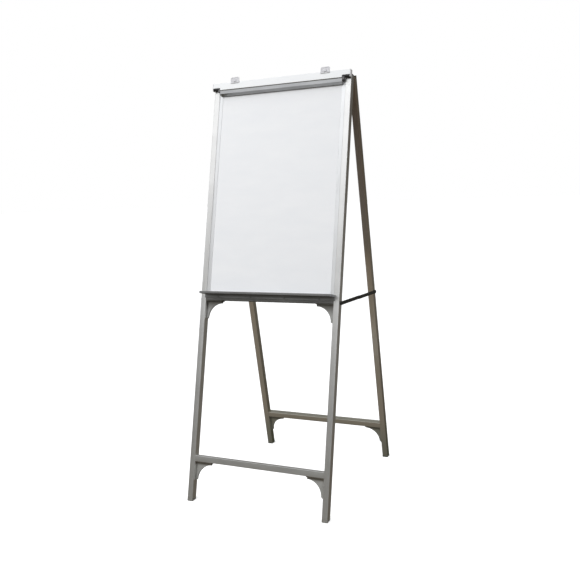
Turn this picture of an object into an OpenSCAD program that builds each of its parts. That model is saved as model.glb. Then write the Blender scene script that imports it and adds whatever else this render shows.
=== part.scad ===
// Folding flipchart easel: a front frame that carries the board, the pad clamp
// and the pen tray, and a rear frame hinged to it at the top corners.
// Millimetres, +Z up, board faces -Y, origin on the floor under the middle.

/* [Stance] */
// Height of the fold axis above the floor
pivot_h = 1776; // [1600:2:1900]
// Lean of the front frame away from the reader
lean_front = 13.4; // [10:0.2:16]
// Lean of the rear frame
lean_rear = 10.4; // [8:0.2:14]

/* [Frame] */
// Width over the outer faces of the legs
frame_w = 656; // [600:2:760]
// Leg and rail width, seen from the front
leg_w = 25; // [22:1:30]
// Wall of the leg and rail tubes
wall = 2; // [1.5:0.5:3]
// Height of the front lower rail along the leg
front_rail_z = 170; // [120:5:260]
// Height of the rear lower rail along the leg
rear_rail_z = 162; // [120:5:260]

/* [Board and tray] */
// Height of the rail under the board, along the leg
mid_rail_z = 873; // [800:1:940]
// Visible width of the trim round the board
trim_w = 16; // [10:1:22]
// How far the pen tray stands out in front of the legs
tray_reach = 51; // [40:1:70]
// Height of the tray's front lip
lip_h = 10; // [8:1:16]

/* [Clamp, hooks and stays] */
// Distance between the two pad hooks
hook_span = 434; // [380:2:500]
// Height of a pad hook above the header
hook_h = 20; // [16:1:30]
// Width of a folding stay
stay_w = 15; // [12:1:18]
// Length of the corner gussets
gusset = 80; // [60:2:96]

/* [Hidden] */
$fn = 48;

// legs and rails
leg_d = 30;
rail_h = 25;
hx = frame_w / 2;
inx = hx - leg_w;
fy = -leg_d / 2;
by = leg_d / 2;

// fold axis, in the frame of each leg pair
gap = 17;
ear_r = 7;
ear_t = 4;
ear_in = 2.5;
pz_front = gap * tan(lean_front) + pivot_h / cos(lean_front);
pz_rear = gap * tan(lean_rear) + pivot_h / cos(lean_rear);

// feet: flush with the tube, with a plug up inside it
tube_start = 9;
plug_h = 26;
foot_r = 4;
half_front = leg_d / 2 / cos(lean_front) - foot_r * tan(lean_front);
half_rear = leg_d / 2 / cos(lean_rear) - foot_r * tan(lean_rear);

// where the two leg pairs meet the floor, with the footprint centred on the origin
run_front = gap / cos(lean_front) + pivot_h * tan(lean_front);
run_rear = gap / cos(lean_rear) + pivot_h * tan(lean_rear);
pivot_y = (run_front + half_front - run_rear - half_rear) / 2;
front_y = pivot_y - run_front;
rear_y = pivot_y + run_rear;

// heights along the front leg
seat_z = pz_front - 8.5;
leg_top = pz_front + 7;
header_z = pz_front - 12;
header_h = 32;
notch_z = header_z + 10;
header_front = fy - 20;
header_back = fy;
rear_leg_top = pz_rear + 5;
mid_top = mid_rail_z + rail_h;

// board sandwich, from the front face of its trim to the back of its trim
trim_front = fy + 3;
trim_back = 0;
skin = 1.5;
sheet_t = 0.8;
back_t = 0.5;
board_top = header_z;

// clamp
tab_w = 9.5;
tab_front = fy - 17;
clamp_y = fy - 11.5;
clamp_z = header_z - 5;
clamp_half = inx - tab_w - 0.4;
cap_t = 3;
clamp_pin_r = 2;
tab_h = 8.8;

// tray
tray_t = 2;
tray_front = fy - tray_reach;
tray_half = inx + 3.5;
tray_cap = 2;

// gussets
gusset_t = 4;
gusset_web = gusset - 2;
gusset_tip = 12;
gusset_d = 25;
gusset_screw_y = 8.3;

// stays: two bars in two layers outside the legs
arm = pz_front - (mid_rail_z + 4);
fold = lean_front + lean_rear;
stay_l = arm * sin(fold / 2) + gap * cos(fold / 2);
stay_tilt = (lean_rear - lean_front) / 2;
layer_a = hx + 2;
layer_b = hx + 4.9;
bar_t = 2.5;
pin_r = 3;
running = 0.05;
stay_z = pz_front - arm;
stay_y0 = front_y + stay_z * sin(lean_front);
stay_h0 = stay_z * cos(lean_front);

slot_y0 = -28;
slot_y1 = -22;

// ---- helpers -------------------------------------------------------------

module front() {
  translate([0, front_y, 0]) rotate([-lean_front, 0, 0]) children();
}

module rear() {
  translate([0, rear_y, 0]) rotate([lean_rear, 0, 0]) children();
}

module flip(left) {
  mirror([left ? 1 : 0, 0, 0]) children();
}

// a YZ outline pushed along +X
module along_x(x0, len) {
  translate([x0, 0, 0]) rotate([90, 0, 90]) linear_extrude(height = len) children();
}

module box2(y0, z0, y1, z1) {
  translate([y0, z0]) square([y1 - y0, z1 - z0]);
}

// rod along X
module rod(x0, x1, y, z, r) {
  translate([x0, y, z]) rotate([0, 90, 0]) cylinder(h = x1 - x0, r = r);
}

module leg_tube(top) {
  difference() {
    translate([inx, fy, tube_start]) cube([leg_w, leg_d, top - tube_start]);
    translate([inx + wall, fy + wall, tube_start - 1])
      cube([leg_w - 2 * wall, leg_d - 2 * wall, top - tube_start + 2]);
  }
}

module rail_tube(z) {
  along_x(-inx, 2 * inx) difference() {
    box2(fy, z, by, z + rail_h);
    box2(fy + wall, z + wall, by - wall, z + rail_h - wall);
  }
}

// side outline of a foot under a leg that leans to +Y, lower edges rounded
module foot_outline(lean) {
  w = leg_d / 2 / cos(lean);
  t = foot_r * tan(lean);
  h = leg_d / 2;
  polygon(concat(
    [[tube_start * sin(lean) - h * cos(lean), tube_start * cos(lean) + h * sin(lean)]],
    [for (a = [180:15:270]) [foot_r + t - w + foot_r * cos(a), foot_r + foot_r * sin(a)]],
    [for (a = [270:15:360]) [w + t - foot_r + foot_r * cos(a), foot_r + foot_r * sin(a)]],
    [[tube_start * sin(lean) + h * cos(lean), tube_start * cos(lean) - h * sin(lean)]]));
}

// front outline of a foot, lower corners cut off
module foot_width() {
  c = 1.5;
  polygon([[inx, 3 * tube_start], [inx, c], [inx + c, -0.01], [hx - c, -0.01], [hx, c],
    [hx, 3 * tube_start]]);
}

module foot_pad(lean) {
  intersection() {
    along_x(inx, leg_w) foot_outline(lean);
    translate([0, leg_d, 0]) rotate([90, 0, 0]) linear_extrude(height = 2 * leg_d) foot_width();
  }
}

module foot_plug() {
  translate([inx + wall, fy + wall, tube_start - 1])
    cube([leg_w - 2 * wall, leg_d - 2 * wall, plug_h + 1]);
}

module gusset_plan(z) {
  difference() {
    translate([inx - gusset_web, z - gusset_web]) square(gusset_web);
    translate([inx - gusset_web, z - gusset_web]) circle(r = gusset_web - gusset_tip, $fn = 96);
  }
}

module gusset_body(z) {
  difference() {
    union() {
      translate([0, 4, 0]) rotate([90, 0, 0]) linear_extrude(height = 8) gusset_plan(z);
      translate([inx - gusset, -gusset_d / 2, z - gusset_t]) cube([gusset, gusset_d, gusset_t]);
      translate([inx - gusset_t, -gusset_d / 2, z - gusset]) cube([gusset_t, gusset_d, gusset]);
    }
    gusset_shanks(z);
  }
}

module gusset_shanks(z) {
  translate([inx - gusset + 6, gusset_screw_y, z - gusset_t]) cylinder(h = gusset_t, r = 2);
  rod(inx - gusset_t, inx, gusset_screw_y, z - gusset + 6, 2);
}

module gusset_screws(z) {
  gusset_shanks(z);
  translate([inx - gusset + 6, gusset_screw_y, z - gusset_t - 2]) pan_head();
  translate([inx - gusset_t - 2, gusset_screw_y, z - gusset + 6]) rotate([0, 90, 0]) pan_head();
}

// screw head 2 mm tall with a hexagon socket in its lower face
module pan_head() {
  difference() {
    cylinder(h = 2, r = 3.8);
    translate([0, 0, -1]) cylinder(h = 2.2, r = 1.6, $fn = 6);
  }
}

// ---- front frame ---------------------------------------------------------

module front_leg(left) {
  color("silver") front() flip(left) difference() {
    leg_tube(leg_top);
    // windows for the neck of the seat and for the ears
    translate([inx + wall, fy - 1, seat_z]) cube([leg_w - 2 * wall, wall + 2, notch_z - seat_z]);
    translate([inx + wall, by - wall - 1, pz_front - ear_r])
      cube([leg_w - 2 * wall, wall + 2, 2 * ear_r + 1]);
  }
}

module front_lower_rail() {
  color("silver") front() rail_tube(front_rail_z);
}

module front_mid_rail() {
  color("silver") front() rail_tube(mid_rail_z);
}

module foot_front(left) {
  color("black") flip(left) {
    translate([0, front_y, 0]) foot_pad(lean_front);
    front() foot_plug();
  }
}

module tray_gusset(left) {
  color("dimgray") front() flip(left) gusset_body(mid_rail_z);
}

module front_gusset(left) {
  color("dimgray") front() flip(left) gusset_body(front_rail_z);
}

module front_gusset_screws() {
  color("gray") front() for (left = [false, true]) flip(left) {
    gusset_screws(mid_rail_z);
    gusset_screws(front_rail_z);
  }
}

// ---- board ---------------------------------------------------------------

module board_layer(y0, y1) {
  edge = skin + 0.05;
  along_x(edge - inx, 2 * (inx - edge)) box2(y0, mid_top + edge, y1, board_top - edge);
}

module board_face_sheet() {
  color("white") front() board_layer(trim_front + skin, trim_front + skin + sheet_t);
}

module board_core() {
  color("tan") front() board_layer(trim_front + skin + sheet_t, trim_back - skin - back_t);
}

module board_back_sheet() {
  color("lightgray") front() board_layer(trim_back - skin - back_t, trim_back - skin);
}

module board_trim_side(left) {
  color("gainsboro") front() flip(left) difference() {
    translate([inx - trim_w, trim_front, mid_top])
      cube([trim_w, trim_back - trim_front, board_top - mid_top]);
    translate([inx - trim_w - 1, trim_front + skin, mid_top + skin])
      cube([trim_w + 1 - skin, trim_back - trim_front - 2 * skin, board_top - mid_top - 2 * skin]);
  }
}

module board_trim_level(z, up) {
  half = inx - trim_w;
  color("gainsboro") front() along_x(-half, 2 * half) difference() {
    box2(trim_front, z, trim_back, z + trim_w);
    box2(trim_front + skin, up ? z + skin : z - 1, trim_back - skin,
      up ? z + trim_w + 1 : z + trim_w - skin);
  }
}

module board_trim_bottom() {
  board_trim_level(mid_top, true);
}

module board_trim_top() {
  board_trim_level(board_top - trim_w, false);
}

// ---- header --------------------------------------------------------------

module header_profile() {
  color("whitesmoke") front() difference() {
    along_x(-hx, 2 * hx) difference() {
      box2(header_front, header_z, header_back, header_z + header_h);
      box2(header_front + wall, header_z + wall, header_back - wall, header_z + header_h - wall);
      box2(slot_y0, header_z + header_h - wall - 1, slot_y1, header_z + header_h + 1);
    }
    for (left = [false, true]) flip(left)
      translate([inx - tab_w - 0.5, header_front - 1, header_z - 1])
        cube([leg_w + tab_w + 2, header_back - header_front + 2, notch_z - header_z + 1]);
  }
}

module header_end_cap(left) {
  color("gray") front() flip(left) along_x(hx, cap_t)
    box2(header_front, header_z, header_back, header_z + header_h);
}

module hinge_block(left) {
  inner = leg_w - 2 * wall;
  color("black") front() flip(left) difference() {
    union() {
      // plug in the leg with a lid over it, and the seat that carries the header
      translate([inx + wall, fy + wall, leg_top - 40]) cube([inner, leg_d - 2 * wall, 40]);
      translate([inx, fy, leg_top]) cube([leg_w, leg_d, 3]);
      translate([inx + wall, fy - 1, seat_z]) cube([inner, wall + 2, notch_z - seat_z]);
      translate([inx - tab_w, tab_front, seat_z])
        cube([leg_w + tab_w, fy - tab_front, notch_z - seat_z]);
      // two ears round the fold axis
      for (x = [inx + ear_in, hx - ear_in - ear_t]) {
        rod(x, x + ear_t, gap, pz_front, ear_r);
        translate([x, by - wall - 1, pz_front - ear_r])
          cube([ear_t, gap - by + wall + 1, 2 * ear_r]);
      }
    }
    // room for the rear fitting's tongue
    rod(inx + ear_in + ear_t, hx - ear_in - ear_t, gap, pz_front, 7);
    rod(inx, hx, gap, pz_front, pin_r);
  }
}

// bracket under the seat that carries the clamp's end pin
module clamp_bracket(left) {
  color("silver") front() flip(left) difference() {
    translate([inx - tab_w, tab_front, header_z - tab_h])
      cube([tab_w, fy - tab_front, seat_z - header_z + tab_h]);
    rod(inx - tab_w - 1, inx - 1.5, clamp_y, clamp_z, clamp_pin_r + running);
  }
}

module hinge_pin(left) {
  color("silver") front() flip(left) rod(inx + ear_in, hx - ear_in, gap, pz_front, pin_r);
}

// ---- tray ----------------------------------------------------------------

module tray_profile() {
  color("silver") front() difference() {
    along_x(-tray_half, 2 * tray_half) {
      box2(tray_front, mid_top + 1, fy, mid_top + 1 + tray_t);
      box2(tray_front, mid_top + 1, tray_front + tray_t, mid_top + 1 + lip_h);
      box2(fy - tray_t, mid_top - 14, fy, mid_top + 1 + tray_t);
    }
    tray_shanks();
  }
}

module tray_shanks() {
  for (x = [-240, -80, 80, 240])
    translate([x, fy - tray_t, mid_top - 8]) rotate([-90, 0, 0])
      cylinder(h = tray_t, r1 = 3.6, r2 = 2);
}

module tray_screws() {
  color("gray") front() difference() {
    tray_shanks();
    for (x = [-240, -80, 80, 240])
      translate([x, fy - tray_t - 1, mid_top - 8]) rotate([-90, 0, 0])
        cylinder(h = 2, r = 1.4, $fn = 6);
  }
}

module tray_end_cap(left) {
  color("gray") front() flip(left) along_x(tray_half, tray_cap) {
    box2(tray_front, mid_top + 1, fy, mid_top + 1 + lip_h);
    box2(fy - tray_t, mid_top - 14, fy, mid_top + 1 + lip_h);
  }
}

// ---- clamp ---------------------------------------------------------------

module clamp_outline() {
  translate([clamp_y, clamp_z]) {
    circle(r = 4.5);
    polygon([[-4.5, 3], [-4.5, -12], [8.5, -19], [11.5, -19], [11.5, 1], [8, 4.5], [0, 4.5],
      [-3.2, 3.7]]);
  }
}

module clamp_bar() {
  color("silver") front() difference() {
    along_x(cap_t - clamp_half, 2 * (clamp_half - cap_t)) clamp_outline();
    translate([0, clamp_y, clamp_z])
      along_x(-clamp_half, 2 * clamp_half)
        polygon([[-2.7, -6], [-2.7, -11], [8.6, -17], [9.7, -17], [9.7, -6]]);
  }
}

module clamp_end_cap(left) {
  color("black") front() flip(left) {
    along_x(clamp_half - cap_t, cap_t) clamp_outline();
    rod(clamp_half, inx - 2, clamp_y, clamp_z, clamp_pin_r);
  }
}

module clamp_rubber_strip() {
  half = inx - trim_w - 3;
  color("black") front() along_x(-half, 2 * half)
    box2(clamp_y + 11.5, clamp_z - 18.5, trim_front + skin - 0.4, board_top - trim_w - 0.4);
}

// ---- pad hooks -----------------------------------------------------------

module hook_outline(w, h, r) {
  translate([-w / 2, 0]) square([w, h - r]);
  translate([r - w / 2, 0]) square([w - 2 * r, h]);
  for (s = [-1, 1]) translate([s * (w / 2 - r), h - r]) circle(r = r);
}

module hook(left) {
  top = header_z + header_h;
  front = header_front - 0.4;
  color("lightgray") front() flip(left) translate([hook_span / 2, 0, 0]) {
    // plate that hangs over the header's front edge, with a recessed field
    difference() {
      translate([0, front, top - 7]) rotate([90, 0, 0])
        linear_extrude(height = 2.2) hook_outline(42, hook_h + 7, 7);
      translate([0, front - 1.6, top - 3]) rotate([90, 0, 0])
        linear_extrude(height = 2) hook_outline(33, hook_h - 1, 4);
    }
    // square peg that takes the pad's punched holes
    translate([0, front - 1, top - 1]) rotate([90, 0, 0])
      linear_extrude(height = 3) hook_outline(12, hook_h - 8, 3);
    // bridge over the top, and the tongue in the header's slot
    translate([-14, front - 1, top + 0.4]) cube([28, slot_y1 - 0.4 - front + 1, 3]);
    translate([-12, slot_y0 + 0.4, top - wall - 0.4]) cube([24, slot_y1 - slot_y0 - 0.8, wall + 1.8]);
  }
}

module hook_shoe(left) {
  top = header_z + header_h - wall;
  color("gray") front() flip(left) translate([hook_span / 2, 0, 0])
    translate([-16, header_front + wall + 0.4, top - 8.4])
      cube([32, header_back - header_front - 2 * wall - 0.8, 8]);
}

// ---- rear frame ----------------------------------------------------------

module rear_leg(left) {
  color("silver") rear() flip(left) difference() {
    leg_tube(rear_leg_top);
    // window that lets the ears and the tongue through
    translate([inx + wall, fy - 1, pz_rear - ear_r - 3])
      cube([leg_w - 2 * wall, wall + 2, rear_leg_top - pz_rear + ear_r + 4]);
  }
}

module rear_lower_rail() {
  color("silver") rear() rail_tube(rear_rail_z);
}

module rear_hinge_fitting(left) {
  x0 = inx + ear_in + ear_t + 0.5;
  len = leg_w - 2 * ear_in - 2 * ear_t - 1;
  color("black") rear() flip(left) difference() {
    union() {
      // plug in the leg, and the tongue between the ears
      translate([inx + wall, fy + wall, pz_rear - 40])
        cube([leg_w - 2 * wall, leg_d - 2 * wall, 40 - ear_r - 3]);
      translate([inx + wall, -7, pz_rear - 12])
        cube([leg_w - 2 * wall, by - wall + 7, rear_leg_top - pz_rear + 12]);
      translate([inx, -7, rear_leg_top]) cube([leg_w, by + 7, 3]);
      rod(x0, x0 + len, -gap, pz_rear, 6.5);
      along_x(x0, len) translate([-gap, pz_rear])
        polygon([[0, -6.5], [6, -12], [18, -12], [6, 2.5], [0, 6.5]]);
    }
    rod(inx - 1, hx + 1, -gap, pz_rear, pin_r + running);
  }
}

module foot_rear(left) {
  color("black") flip(left) {
    translate([0, rear_y, 0]) mirror([0, 1, 0]) foot_pad(lean_rear);
    rear() foot_plug();
  }
}

module rear_gusset(left) {
  color("dimgray") rear() flip(left) gusset_body(rear_rail_z);
}

module rear_gusset_screws() {
  color("gray") rear() for (left = [false, true]) flip(left) gusset_screws(rear_rail_z);
}

// ---- folding stays -------------------------------------------------------
// drawn in a frame whose origin is the pivot on the front leg, +Y along the stay

module stay_frame(left) {
  flip(left) translate([0, stay_y0, stay_h0]) rotate([stay_tilt, 0, 0]) children();
}

module bar(x, len) {
  translate([x, 0, -stay_w / 2]) cube([bar_t, len, stay_w]);
  rod(x, x + bar_t, 0, 0, stay_w / 2);
  rod(x, x + bar_t, len, 0, stay_w / 2);
}

module stay_pivot(left) {
  color("gray") stay_frame(left) {
    rod(hx, hx + 1.6, 0, 0, 6);
    rod(hx + 1.6, layer_a + bar_t + 0.4, 0, 0, pin_r);
    rod(layer_a + bar_t + 0.4, layer_a + bar_t + 1.6, 0, 0, 5.5);
  }
}

module stay_front_half(left) {
  color("dimgray") stay_frame(left) difference() {
    bar(layer_a, stay_l);
    for (y = [0, stay_l]) rod(layer_a - 1, layer_a + bar_t + 1, y, 0, pin_r + running);
  }
}

module stay_rear_half(left) {
  color("dimgray") stay_frame(left) translate([0, stay_l, 0]) difference() {
    bar(layer_b, stay_l);
    for (y = [0, stay_l]) rod(layer_b - 1, layer_b + bar_t + 1, y, 0, pin_r);
  }
}

module stay_centre_rivet(left) {
  color("gray") stay_frame(left) translate([0, stay_l, 0]) {
    rod(layer_a - 1.3, layer_a - 0.4, 0, 0, 5);
    rod(layer_a - 0.4, layer_b + bar_t, 0, 0, pin_r);
    rod(layer_b + bar_t, layer_b + bar_t + 1.2, 0, 0, 5);
  }
}

module stay_rear_rivet(left) {
  color("gray") stay_frame(left) translate([0, 2 * stay_l, 0]) {
    rod(hx + 0.4, layer_b, 0, 0, 6);
    rod(layer_b, layer_b + bar_t, 0, 0, pin_r);
    rod(layer_b + bar_t, layer_b + bar_t + 1.2, 0, 0, 5);
  }
}

// ---- the nodes -----------------------------------------------------------

front_leg(true);  // front_leg_left
front_leg(false);  // front_leg_right
front_lower_rail();
front_mid_rail();
board_face_sheet();
board_core();
board_back_sheet();
board_trim_side(true);  // board_trim_left
board_trim_side(false);  // board_trim_right
board_trim_bottom();
board_trim_top();
header_profile();
header_end_cap(true);  // header_end_cap_left
header_end_cap(false);  // header_end_cap_right
tray_profile();
tray_end_cap(true);  // tray_end_cap_left
tray_end_cap(false);  // tray_end_cap_right
tray_screws();
hinge_block(true);  // hinge_block_left
hinge_block(false);  // hinge_block_right
clamp_bracket(true);  // clamp_bracket_left
clamp_bracket(false);  // clamp_bracket_right
hinge_pin(true);  // hinge_pin_left
hinge_pin(false);  // hinge_pin_right
tray_gusset(true);  // tray_gusset_left
tray_gusset(false);  // tray_gusset_right
front_gusset(true);  // front_gusset_left
front_gusset(false);  // front_gusset_right
front_gusset_screws();
foot_front(true);  // front_foot_left
foot_front(false);  // front_foot_right
stay_pivot(true);  // stay_pivot_left
stay_pivot(false);  // stay_pivot_right
rear_leg(true);  // rear_leg_left
rear_leg(false);  // rear_leg_right
rear_lower_rail();
rear_hinge_fitting(true);  // rear_hinge_fitting_left
rear_hinge_fitting(false);  // rear_hinge_fitting_right
rear_gusset(true);  // rear_gusset_left
rear_gusset(false);  // rear_gusset_right
rear_gusset_screws();
foot_rear(true);  // rear_foot_left
foot_rear(false);  // rear_foot_right
clamp_bar();
clamp_end_cap(true);  // clamp_end_cap_left
clamp_end_cap(false);  // clamp_end_cap_right
clamp_rubber_strip();
hook(true);  // hook_left
hook(false);  // hook_right
hook_shoe(true);  // hook_shoe_left
hook_shoe(false);  // hook_shoe_right
stay_front_half(true);  // stay_front_half_left
stay_front_half(false);  // stay_front_half_right
stay_rear_half(true);  // stay_rear_half_left
stay_rear_half(false);  // stay_rear_half_right
stay_centre_rivet(true);  // stay_centre_rivet_left
stay_centre_rivet(false);  // stay_centre_rivet_right
stay_rear_rivet(true);  // stay_rear_rivet_left
stay_rear_rivet(false);  // stay_rear_rivet_right
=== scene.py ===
import math

import bmesh
import bpy
from mathutils import Matrix, Vector

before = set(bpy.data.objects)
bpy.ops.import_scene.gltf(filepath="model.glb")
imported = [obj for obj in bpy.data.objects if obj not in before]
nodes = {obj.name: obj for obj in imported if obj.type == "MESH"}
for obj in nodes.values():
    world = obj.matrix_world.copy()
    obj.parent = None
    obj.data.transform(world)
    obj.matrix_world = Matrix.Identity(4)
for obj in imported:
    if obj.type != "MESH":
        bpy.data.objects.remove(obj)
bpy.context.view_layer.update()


# ---------------------------------------------------------------- node helpers

def material(name):
    m = bpy.data.materials.new(name)
    m.use_nodes = True
    nt = m.node_tree
    nt.nodes.clear()
    out = nt.nodes.new("ShaderNodeOutputMaterial")
    bsdf = nt.nodes.new("ShaderNodeBsdfPrincipled")
    nt.links.new(bsdf.outputs["BSDF"], out.inputs["Surface"])
    return m, nt, bsdf


def node(nt, kind, **values):
    """A new node; each value goes to the input of that name, or else to the setting."""
    n = nt.nodes.new(kind)
    for k, v in values.items():
        if k in n.inputs.keys():
            n.inputs[k].default_value = v
        else:
            setattr(n, k, v)
    return n


def coords(nt, scale=(1.0, 1.0, 1.0)):
    """Object coordinates, stretched."""
    tc = node(nt, "ShaderNodeTexCoord")
    mp = node(nt, "ShaderNodeMapping", Scale=scale)
    nt.links.new(tc.outputs["Object"], mp.inputs["Vector"])
    return mp.outputs["Vector"]


def noise(nt, vector, scale, detail=3.0, rough=0.55):
    n = node(nt, "ShaderNodeTexNoise", Scale=scale, Detail=detail, Roughness=rough)
    nt.links.new(vector, n.inputs["Vector"])
    return n.outputs["Fac"]


def ramp(nt, fac, stops):
    n = node(nt, "ShaderNodeValToRGB")
    el = n.color_ramp.elements
    while len(el) > len(stops):
        el.remove(el[-1])
    while len(el) < len(stops):
        el.new(0.5)
    for e, (pos, col) in zip(el, stops):
        e.position = pos
        e.color = (*col, 1.0)
    nt.links.new(fac, n.inputs["Fac"])
    return n.outputs["Color"]


def between(nt, fac, lo, hi):
    """One colour to another over the middle of a noise."""
    return ramp(nt, fac, [(0.3, lo), (0.7, hi)])


def around(base, tint):
    """A colour's darker and lighter neighbours."""
    return tuple(max(0.0, c - tint) for c in base), tuple(min(1.0, c + tint) for c in base)


def value_ramp(nt, fac, lo, hi, a=0.3, b=0.7):
    """Map a to b onto lo to hi."""
    n = node(nt, "ShaderNodeMapRange")
    n.inputs["From Min"].default_value = a
    n.inputs["From Max"].default_value = b
    n.inputs["To Min"].default_value = lo
    n.inputs["To Max"].default_value = hi
    nt.links.new(fac, n.inputs["Value"])
    return n.outputs["Result"]


def mix_colour(nt, fac, a, b, mode="MIX"):
    """Blend two colours; a and b are sockets or plain colours."""
    n = nt.nodes.new("ShaderNodeMix")
    n.data_type = "RGBA"
    n.blend_type = mode
    put = {i.identifier: i for i in n.inputs}
    if isinstance(fac, float):
        put["Factor_Float"].default_value = fac
    else:
        nt.links.new(fac, put["Factor_Float"])
    for socket, value in (("A_Color", a), ("B_Color", b)):
        if isinstance(value, tuple):
            put[socket].default_value = (*value, 1.0)
        else:
            nt.links.new(value, put[socket])
    return next(o for o in n.outputs if o.identifier == "Result_Color")


def coat(nt, bsdf, colour, fac, rough):
    """Base colour from a socket, and roughness that varies between two values with fac."""
    nt.links.new(colour, bsdf.inputs["Base Color"])
    nt.links.new(value_ramp(nt, fac, *rough), bsdf.inputs["Roughness"])


def bump(nt, height, bsdf, strength, distance):
    n = node(nt, "ShaderNodeBump", Strength=strength, Distance=distance)
    nt.links.new(height, n.inputs["Height"])
    nt.links.new(n.outputs["Normal"], bsdf.inputs["Normal"])


# ---------------------------------------------------------------- metals

# noise scale of the die lines by the axis that the profile runs along
DIE_LINES = {"x": (6.0, 900.0, 900.0), "z": (900.0, 900.0, 6.0)}

# painted light and shade of the rear frame by height / REAR_TOP: on faces turned to the front or
# back, and painted shade on the others
REAR_TOP = 2.0
REAR_FACE_LIGHT = [(0.0, (0.62, 0.66, 0.63)), (0.04, (0.70, 0.74, 0.70)), (0.10, (0.97, 0.93, 0.88)),
             (0.30, (0.96, 0.92, 0.86)), (0.60, (0.86, 0.74, 0.63)), (0.78, (0.66, 0.55, 0.46)),
             (1.0, (0.62, 0.51, 0.42))]
REAR_SIDE_SHADE = [(0.0, (0.32, 0.36, 0.27)), (0.04, (0.38, 0.41, 0.31)), (0.12, (0.56, 0.52, 0.45)),
             (0.36, (0.64, 0.60, 0.52)), (0.60, (0.68, 0.60, 0.50)), (0.80, (0.66, 0.58, 0.50))]

# each frame's lean from upright and where its feet stand, in y
LEAN_F, LEAN_R = math.radians(13.4), math.radians(-10.4)
FOOT_F, FOOT_R = -0.3919346, 0.391885


def extrusion(name, along, rough, colour):
    """Satin anodised extrusion: fine die lines along the profile and a soft mottle.

    colour(nt, cloud) gives the base colour's socket from the mottle.
    """
    m, nt, b = material(name)
    lines = noise(nt, coords(nt, DIE_LINES[along]), 1.0, 2.0)
    cloud = noise(nt, coords(nt), 9.0, 4.0)
    coat(nt, b, colour(nt, cloud), lines, rough)
    b.inputs["Metallic"].default_value = 1.0
    b.inputs["Anisotropic"].default_value = 0.35
    bump(nt, lines, b, 0.12, 0.00004)
    return m


def aluminium(name, base, along, rough=0.34):
    """An extrusion in one tone."""
    ends = around(base, 0.04)
    return extrusion(name, along, (rough - 0.06, rough + 0.08),
                     lambda nt, cloud: between(nt, cloud, *ends))


def rear_painted_light(nt, cloud):
    """Painted light and shade: by height, browner towards the top and darker near the floor, and
    painted shade on the tube's sides and upper faces.
    """
    tc = node(nt, "ShaderNodeTexCoord")
    place = node(nt, "ShaderNodeSeparateXYZ")
    facing = node(nt, "ShaderNodeSeparateXYZ")
    nt.links.new(tc.outputs["Object"], place.inputs["Vector"])
    nt.links.new(tc.outputs["Normal"], facing.inputs["Vector"])
    height = value_ramp(nt, place.outputs["Z"], 0.0, 1.0, 0.0, REAR_TOP)
    sideways = node(nt, "ShaderNodeMath", operation="ABSOLUTE")
    nt.links.new(facing.outputs["X"], sideways.inputs[0])
    turned = node(nt, "ShaderNodeMath", operation="MAXIMUM")
    nt.links.new(sideways.outputs["Value"], turned.inputs[0])
    nt.links.new(facing.outputs["Z"], turned.inputs[1])
    # painted shade: faces turned sideways or upwards take the darker side ramp
    side_shade = value_ramp(nt, turned.outputs["Value"], 0.0, 1.0, 0.4, 0.8)
    tone = mix_colour(nt, side_shade, ramp(nt, height, REAR_FACE_LIGHT), ramp(nt, height, REAR_SIDE_SHADE))
    mottle = between(nt, cloud, (0.93, 0.93, 0.93), (1.0, 1.0, 1.0))
    return mix_colour(nt, 1.0, tone, mottle, "MULTIPLY")


def rear_aluminium(name, along):
    return extrusion(name, along, (0.28, 0.42), rear_painted_light)


def cast(name, base, rail_shadow, lean, foot_y, joint, fade):
    """Blasted casting: fine pitting, with the rail's shadow painted as a dark band just below it.

    lean and foot_y place the leg's own frame, joint is the rail's lower face in it,
    and fade says how far below that the painted shadow begins and ends.
    """
    m, nt, b = material(name)
    v = coords(nt)
    pit = noise(nt, v, 1300.0, 3.0)
    body = between(nt, noise(nt, v, 25.0, 4.0), *around(base, 0.04))
    tc = node(nt, "ShaderNodeTexCoord")
    along_leg = node(nt, "ShaderNodeVectorMath", operation="DOT_PRODUCT")
    along_leg.inputs[1].default_value = (0.0, math.sin(lean), math.cos(lean))
    nt.links.new(tc.outputs["Object"], along_leg.inputs[0])
    rail = joint + foot_y * math.sin(lean)
    # painted shadow: the gusset darkens in a band just below the rail's lower face
    shade = value_ramp(nt, along_leg.outputs["Value"], 0.0, 1.0, rail - fade[1], rail - fade[0])
    coat(nt, b, mix_colour(nt, shade, body, rail_shadow), pit, (0.37, 0.52))
    b.inputs["Metallic"].default_value = 0.5
    bump(nt, pit, b, 0.3, 0.0001)
    return m


# ---------------------------------------------------------------- plastics, coats and the board

def plastic(name, base, rough=0.5, grain=2600.0):
    """Moulded plastic with a fine spark-eroded grain."""
    m, nt, b = material(name)
    v = coords(nt)
    cloud = noise(nt, v, 40.0, 4.0)
    coat(nt, b, between(nt, cloud, *around(base, 0.012)), cloud, (rough - 0.06, rough + 0.08))
    bump(nt, noise(nt, v, grain, 2.0), b, 0.35, 0.00006)
    return m


def enamel():
    """White enamelled steel: glassy coat, faint orange peel, faint wiped marks."""
    m, nt, b = material("board_enamel")
    wiped = noise(nt, coords(nt, (3.0, 3.0, 9.0)), 2.2, 5.0)
    coat(nt, b, between(nt, wiped, (0.83, 0.845, 0.87), (0.86, 0.872, 0.892)), wiped, (0.30, 0.40))
    b.inputs["Coat Weight"].default_value = 0.2
    b.inputs["Coat Roughness"].default_value = 0.2
    bump(nt, noise(nt, coords(nt), 160.0, 2.0), b, 0.05, 0.00005)
    return m


def header_paint():
    """Near-white powder coat with a fine speck."""
    m, nt, b = material("header_coat")
    v = coords(nt)
    cloud = noise(nt, v, 12.0, 3.0)
    coat(nt, b, between(nt, cloud, (0.86, 0.88, 0.90), (0.89, 0.905, 0.92)), cloud, (0.36, 0.46))
    bump(nt, noise(nt, v, 1400.0, 2.0), b, 0.18, 0.00005)
    return m


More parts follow.
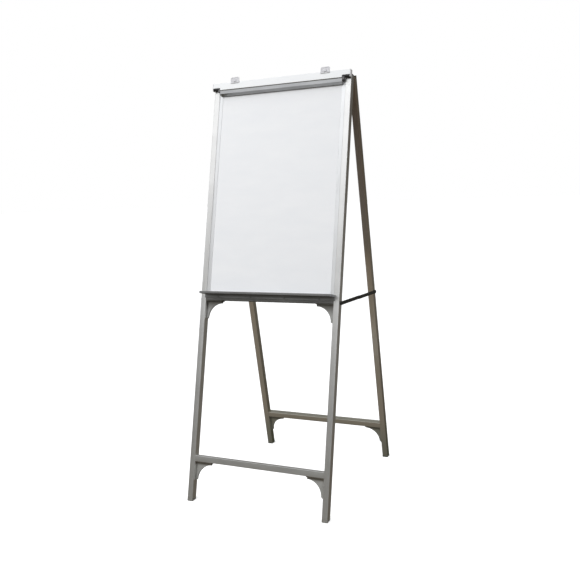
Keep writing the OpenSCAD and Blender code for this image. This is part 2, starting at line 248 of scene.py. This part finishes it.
def hook_resin():
    """Pale grey moulded hook, faintly translucent."""
    m, nt, b = material("hook_resin")
    v = coords(nt)
    cloud = noise(nt, v, 60.0, 3.0)
    coat(nt, b, between(nt, cloud, (0.62, 0.62, 0.65), (0.67, 0.67, 0.70)), cloud, (0.30, 0.42))
    b.inputs["Subsurface Weight"].default_value = 0.5
    b.inputs["Subsurface Radius"].default_value = (1.0, 1.0, 1.0)
    b.inputs["Subsurface Scale"].default_value = 0.006
    b.inputs["IOR"].default_value = 1.49
    bump(nt, noise(nt, v, 1800.0, 2.0), b, 0.15, 0.00004)
    return m


def fibre():
    """The board's core, seen only at its cut edges."""
    m, nt, b = material("board_fibre")
    f = noise(nt, coords(nt), 700.0, 6.0, 0.7)
    coat(nt, b, between(nt, f, (0.30, 0.21, 0.12), (0.46, 0.34, 0.21)), f, (0.75, 0.95))
    bump(nt, f, b, 0.4, 0.0003)
    return m


def stay_paint():
    """Black coat on the stays' steel bars."""
    m, nt, b = material("stay_coat")
    v = coords(nt)
    cloud = noise(nt, v, 30.0, 5.0)
    black = between(nt, cloud, (0.013, 0.013, 0.012), (0.024, 0.024, 0.021))
    coat(nt, b, black, cloud, (0.42, 0.58))
    bump(nt, noise(nt, v, 1500.0, 2.0), b, 0.25, 0.00005)
    return m


# ---------------------------------------------------------------- finishes of the CAD pieces

M = {
    "leg": aluminium("anodised_leg", (0.85, 0.85, 0.84), "z"),
    "rail": aluminium("anodised_rail", (0.85, 0.85, 0.84), "x"),
    # the rear frame's legs and rails carry painted light and shade by height and facing
    "leg_rear": rear_aluminium("anodised_leg_rear", "z"),
    "rail_rear": rear_aluminium("anodised_rail_rear", "x"),
    "trim_v": aluminium("anodised_trim_upright", (0.93, 0.94, 0.95), "z", rough=0.42),
    "trim_h": aluminium("anodised_trim_level", (0.93, 0.94, 0.95), "x", rough=0.42),
    "tray": aluminium("anodised_tray", (0.30, 0.30, 0.30), "x"),
    # the mid rail is a darker copy of the rail finish: painted shadow of the tray above it
    "shade": aluminium("anodised_mid_rail_painted_shadow", (0.24, 0.24, 0.235), "x", rough=0.5),
    "clamp": aluminium("anodised_clamp", (0.42, 0.425, 0.43), "x", rough=0.36),
    "steel": aluminium("zinc_plated", (0.50, 0.50, 0.51), "x", rough=0.3),
    "dull": aluminium("dulled_screws", (0.24, 0.24, 0.235), "x", rough=0.5),
    # the gussets' dark bands are painted shadow of the rails above them
    "gusset_tray": cast("cast_gusset_tray", (0.46, 0.46, 0.45), (0.13, 0.125, 0.11),
                        LEAN_F, FOOT_F, 0.873, (0.008, 0.050)),
    "gusset_front": cast("cast_gusset_front", (0.44, 0.44, 0.42), (0.17, 0.155, 0.13),
                         LEAN_F, FOOT_F, 0.170, (0.009, 0.017)),
    # the rear gusset's darker olive base is painted shade of the rear frame
    "gusset_rear": cast("cast_gusset_rear", (0.34, 0.34, 0.29), (0.19, 0.19, 0.16),
                        LEAN_R, FOOT_R, 0.162, (0.006, 0.020)),
    "block": plastic("black_moulding", (0.012, 0.012, 0.013), rough=0.42),
    "foot": plastic("foot_moulding", (0.24, 0.235, 0.215), rough=0.6),
    # the rear feet are a darker, olive copy of the foot finish: painted shade of the rear frame
    "foot_rear": plastic("foot_moulding_rear", (0.11, 0.115, 0.09), rough=0.6),
    "header_cap": plastic("header_end_moulding", (0.74, 0.74, 0.76), rough=0.45),
    "cap": plastic("grey_moulding", (0.32, 0.33, 0.35)),
    "clamp_cap": plastic("clamp_end_moulding", (0.42, 0.42, 0.44)),
    "bracket": plastic("clamp_bracket_moulding", (0.12, 0.12, 0.125), rough=0.45),
    "rubber": plastic("clamp_rubber", (0.012, 0.012, 0.012), rough=0.8, grain=900.0),
    "backing": plastic("board_backing", (0.42, 0.43, 0.44), rough=0.6, grain=1200.0),
    "enamel": enamel(),
    "header": header_paint(),
    "hook": hook_resin(),
    "fibre": fibre(),
    "stay": stay_paint(),
}

# finish by how a piece's name starts; the first that fits counts
RULES = [
    ("front_gusset_screws", "dull"), ("rear_gusset_screws", "dull"), ("tray_screws", "dull"),
    ("tray_gusset", "gusset_tray"), ("front_gusset", "gusset_front"),
    ("rear_gusset", "gusset_rear"),
    ("board_trim_left", "trim_v"), ("board_trim_right", "trim_v"), ("board_trim", "trim_h"),
    ("board_face_sheet", "enamel"), ("board_core", "fibre"), ("board_back_sheet", "backing"),
    ("header_profile", "header"), ("header_end_cap", "header_cap"),
    ("tray_profile", "tray"), ("tray_end_cap", "cap"), ("front_mid_rail", "shade"),
    ("hinge_block", "block"), ("rear_hinge_fitting", "block"), ("hinge_pin", "steel"),
    ("clamp_bracket", "bracket"), ("clamp_end_cap", "clamp_cap"), ("clamp_bar", "clamp"),
    ("clamp_rubber_strip", "rubber"),
    ("hook_shoe", "cap"), ("hook_", "hook"), ("stay_", "stay"),
]


def pick(name):
    """The finish of a piece; legs, rails and feet have one for each frame, the rear frame's with
    painted light and shade.
    """
    for start, finish in RULES:
        if name.startswith(start):
            return finish
    rear = "_rear" if name.startswith("rear_") else ""
    for part in ("foot", "leg"):
        if part in name:
            return part + rear
    return "rail" + rear


# rounding of the edges in metres; the finishes not named here stay as cut
ROUNDING = {
    "leg": 0.0012, "rail": 0.0012, "leg_rear": 0.0012, "rail_rear": 0.0012, "shade": 0.0012,
    "trim_v": 0.0005, "trim_h": 0.0005, "tray": 0.0006, "clamp": 0.0006, "header": 0.0010,
    "gusset_tray": 0.0006, "gusset_front": 0.0006, "gusset_rear": 0.0006,
    "foot": 0.0008, "foot_rear": 0.0008, "block": 0.0008, "bracket": 0.0004,
    "cap": 0.0006, "header_cap": 0.0006, "clamp_cap": 0.0004,
    "rubber": 0.0005, "hook": 0.0010, "stay": 0.0005, "steel": 0.0003,
}
SPLIT_VERTEX_GAP = 0.00002
SHARP_EDGE = math.radians(40)

for name, obj in nodes.items():
    finish = pick(name)
    obj.data.materials.clear()
    obj.data.materials.append(M[finish])
    if finish in ROUNDING:
        # the faces share no vertices until they are joined
        join = obj.modifiers.new("join", "WELD")
        join.merge_threshold = SPLIT_VERTEX_GAP
        edge = obj.modifiers.new("edge", "BEVEL")
        edge.width = ROUNDING[finish]
        edge.segments = 2
        edge.limit_method = "ANGLE"
        edge.angle_limit = SHARP_EDGE
        even = obj.modifiers.new("even", "WEIGHTED_NORMAL")
        even.keep_sharp = False


# ---------------------------------------------------------------- stage

FLOOR_SIZE = 60.0
FLOOR_GLOW = 0.42

# studio brightness by sine of elevation, in front of the easel and behind it
AHEAD = [(-1.0, (0.060, 0.055, 0.045)), (-0.4, (0.210, 0.186, 0.148)), (0.0, (0.160, 0.156, 0.140)),
         (0.12, (0.182, 0.181, 0.171)), (0.24, (0.255, 0.253, 0.242)), (0.34, (0.76, 0.765, 0.77)),
         (0.46, (1.36, 1.37, 1.39)), (1.0, (1.00, 1.01, 1.03))]
BEHIND = [(-1.0, (0.040, 0.038, 0.032)), (-0.35, (0.120, 0.106, 0.082)),
          (-0.12, (0.165, 0.160, 0.142)), (0.0, (0.105, 0.095, 0.074)),
          (0.12, (0.066, 0.058, 0.044)), (0.35, (0.200, 0.200, 0.195)),
          (0.6, (0.300, 0.300, 0.300)), (1.0, (0.90, 0.91, 0.93))]

# both lamps point at the board: where they stand, their width and height, and their power
AIM = (0, 0, 1.1)
LAMPS = {
    "key": ((-2.1, -3.9, 4.3), (2.6, 2.2), 135),
    "fill": ((2.2, 3.6, 2.6), (2.2, 2.2), 35),
}


def floor():
    """Plain pale paper; it lights and mirrors in nothing, so the undersides stay dark."""
    me = bpy.data.meshes.new("floor")
    bm = bmesh.new()
    bmesh.ops.create_grid(bm, x_segments=1, y_segments=1, size=FLOOR_SIZE)
    bm.to_mesh(me)
    bm.free()
    o = bpy.data.objects.new("floor", me)
    bpy.context.scene.collection.objects.link(o)
    m, nt, b = material("floor_paper")
    pulp = noise(nt, coords(nt), 5.0, 3.0)
    nt.links.new(between(nt, pulp, (0.90, 0.90, 0.90), (0.92, 0.92, 0.92)), b.inputs["Base Color"])
    b.inputs["Roughness"].default_value = 0.9
    b.inputs["Specular IOR Level"].default_value = 0.0
    b.inputs["Emission Color"].default_value = (1.0, 1.0, 1.0, 1.0)
    b.inputs["Emission Strength"].default_value = FLOOR_GLOW
    me.materials.append(m)
    o.visible_diffuse = False
    o.visible_glossy = False


def studio():
    """Light by elevation from all round; the camera itself sees white paper."""
    world = bpy.data.worlds.new("studio")
    bpy.context.scene.world = world
    world.use_nodes = True
    nt = world.node_tree
    nt.nodes.clear()
    tc = node(nt, "ShaderNodeTexCoord")
    sep = node(nt, "ShaderNodeSeparateXYZ")
    nt.links.new(tc.outputs["Generated"], sep.inputs["Vector"])
    rise = value_ramp(nt, sep.outputs["Z"], 0.0, 1.0, -1.0, 1.0)
    rear = value_ramp(nt, sep.outputs["Y"], 0.0, 1.0, -0.35, 0.35)
    ahead, behind = (ramp(nt, rise, [((z + 1.0) / 2.0, c) for z, c in stops])
                     for stops in (AHEAD, BEHIND))
    soft = node(nt, "ShaderNodeBackground")
    nt.links.new(mix_colour(nt, rear, ahead, behind), soft.inputs["Color"])
    paper = node(nt, "ShaderNodeBackground", Color=(1.0, 1.0, 1.0, 1.0))
    path = node(nt, "ShaderNodeLightPath")
    mix = node(nt, "ShaderNodeMixShader")
    nt.links.new(path.outputs["Is Camera Ray"], mix.inputs["Fac"])
    nt.links.new(soft.outputs["Background"], mix.inputs[1])
    nt.links.new(paper.outputs["Background"], mix.inputs[2])
    out = node(nt, "ShaderNodeOutputWorld")
    nt.links.new(mix.outputs["Shader"], out.inputs["Surface"])


def area_light(name, at, size, power):
    """A soft box that the metals don't mirror."""
    d = bpy.data.lights.new(name, "AREA")
    d.shape = "RECTANGLE"
    d.size, d.size_y = size
    d.energy = power
    o = bpy.data.objects.new(name, d)
    o.location = at
    o.rotation_euler = (Vector(AIM) - Vector(at)).to_track_quat("-Z", "Y").to_euler()
    o.visible_glossy = False
    bpy.context.scene.collection.objects.link(o)


floor()
studio()
for name, (at, size, power) in LAMPS.items():
    area_light(name, at, size, power)
scene = bpy.context.scene
scene.view_settings.view_transform = "Standard"


# ---------------------------------------------------------------- camera

# where it stands about the easel's middle, in metres, and how it is turned
AZ, DIST, HEIGHT, SHIFT_Y = math.radians(25.28), 3.361, 1.318, 0.0335
YAW, PITCH, ROLL = math.radians(25.32), math.radians(-7.58), math.radians(-2.31)
FOCAL = 748.0  # in pixels
IMAGE_WIDTH = 580.0
SENSOR_WIDTH = 36.0

cam_data = bpy.data.cameras.new("camera")
cam = bpy.data.objects.new("camera", cam_data)
scene.collection.objects.link(cam)
scene.camera = cam
cam.location = (DIST * math.sin(AZ), -DIST * math.cos(AZ) + SHIFT_Y, HEIGHT)
view = Vector((-math.sin(YAW) * math.cos(PITCH), math.cos(YAW) * math.cos(PITCH), math.sin(PITCH)))
level = Vector((math.cos(YAW), math.sin(YAW), 0.0))
upright = level.cross(view)
right = math.cos(ROLL) * level + math.sin(ROLL) * upright
top = -math.sin(ROLL) * level + math.cos(ROLL) * upright
cam.rotation_euler = Matrix((right, top, -view)).transposed().to_euler()
cam_data.sensor_width = SENSOR_WIDTH
cam_data.lens = SENSOR_WIDTH * FOCAL / IMAGE_WIDTH
cam_data.clip_start = 0.05
cam_data.clip_end = 200.0
